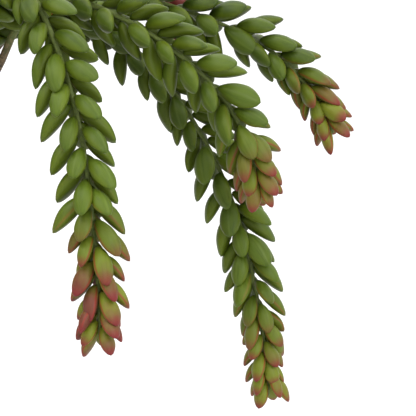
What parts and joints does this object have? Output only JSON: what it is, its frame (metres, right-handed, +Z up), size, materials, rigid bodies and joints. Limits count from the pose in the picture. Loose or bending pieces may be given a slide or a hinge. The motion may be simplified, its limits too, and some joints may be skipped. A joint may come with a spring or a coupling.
{
  "type": "potted burro's tail plant",
  "caption": "Trailing succulent in a tall tapered clay pot: stems arch over the rim and hang free, packed all round with plump pointed leaves.",
  "frame": {"origin": "middle of the underside of the pot, on the surface that it stands on", "axes": "+Z up along the pot's axis; the longest and highest tails hang towards +X, and -Y is the front"},
  "size_m": [0.497, 0.4218, 0.3213],
  "materials": {
    "pot_clay": "unglazed terracotta, matte, slightly mottled",
    "potting_soil": "dark crumbly gritty compost",
    "woody_stem": "brown bark at the root, green and smooth towards the tip",
    "succulent_leaf": "waxy satin leaf skin, green, yellow-green and red at the tail ends"
  },
  "bodies": {
    "root": {"pot": "pot_clay", "soil": "potting_soil", "stem_front_right": "woody_stem", "stem_right_front": "woody_stem", "stem_right_long": "woody_stem", "stem_right_high": "woody_stem", "stem_back_right": "woody_stem", "stem_back": "woody_stem", "stem_back_left": "woody_stem", "stem_left_back": "woody_stem", "stem_left_long": "woody_stem", "stem_left_front": "woody_stem", "stem_front": "woody_stem", "stem_front_shoot": "woody_stem", "stem_back_shoot": "woody_stem", "stem_left_shoot": "woody_stem", "stem_middle_shoot": "woody_stem", "leaves_front_right": "succulent_leaf", "leaves_right_front": "succulent_leaf", "leaves_right_long": "succulent_leaf", "leaves_right_high": "succulent_leaf", "leaves_back_right": "succulent_leaf", "leaves_back": "succulent_leaf", "leaves_back_left": "succulent_leaf", "leaves_left_back": "succulent_leaf", "leaves_left_long": "succulent_leaf", "leaves_left_front": "succulent_leaf", "leaves_front": "succulent_leaf", "leaves_front_shoot": "succulent_leaf", "leaves_back_shoot": "succulent_leaf", "leaves_left_shoot": "succulent_leaf", "leaves_middle_shoot": "succulent_leaf"}
  },
  "joints": []
}
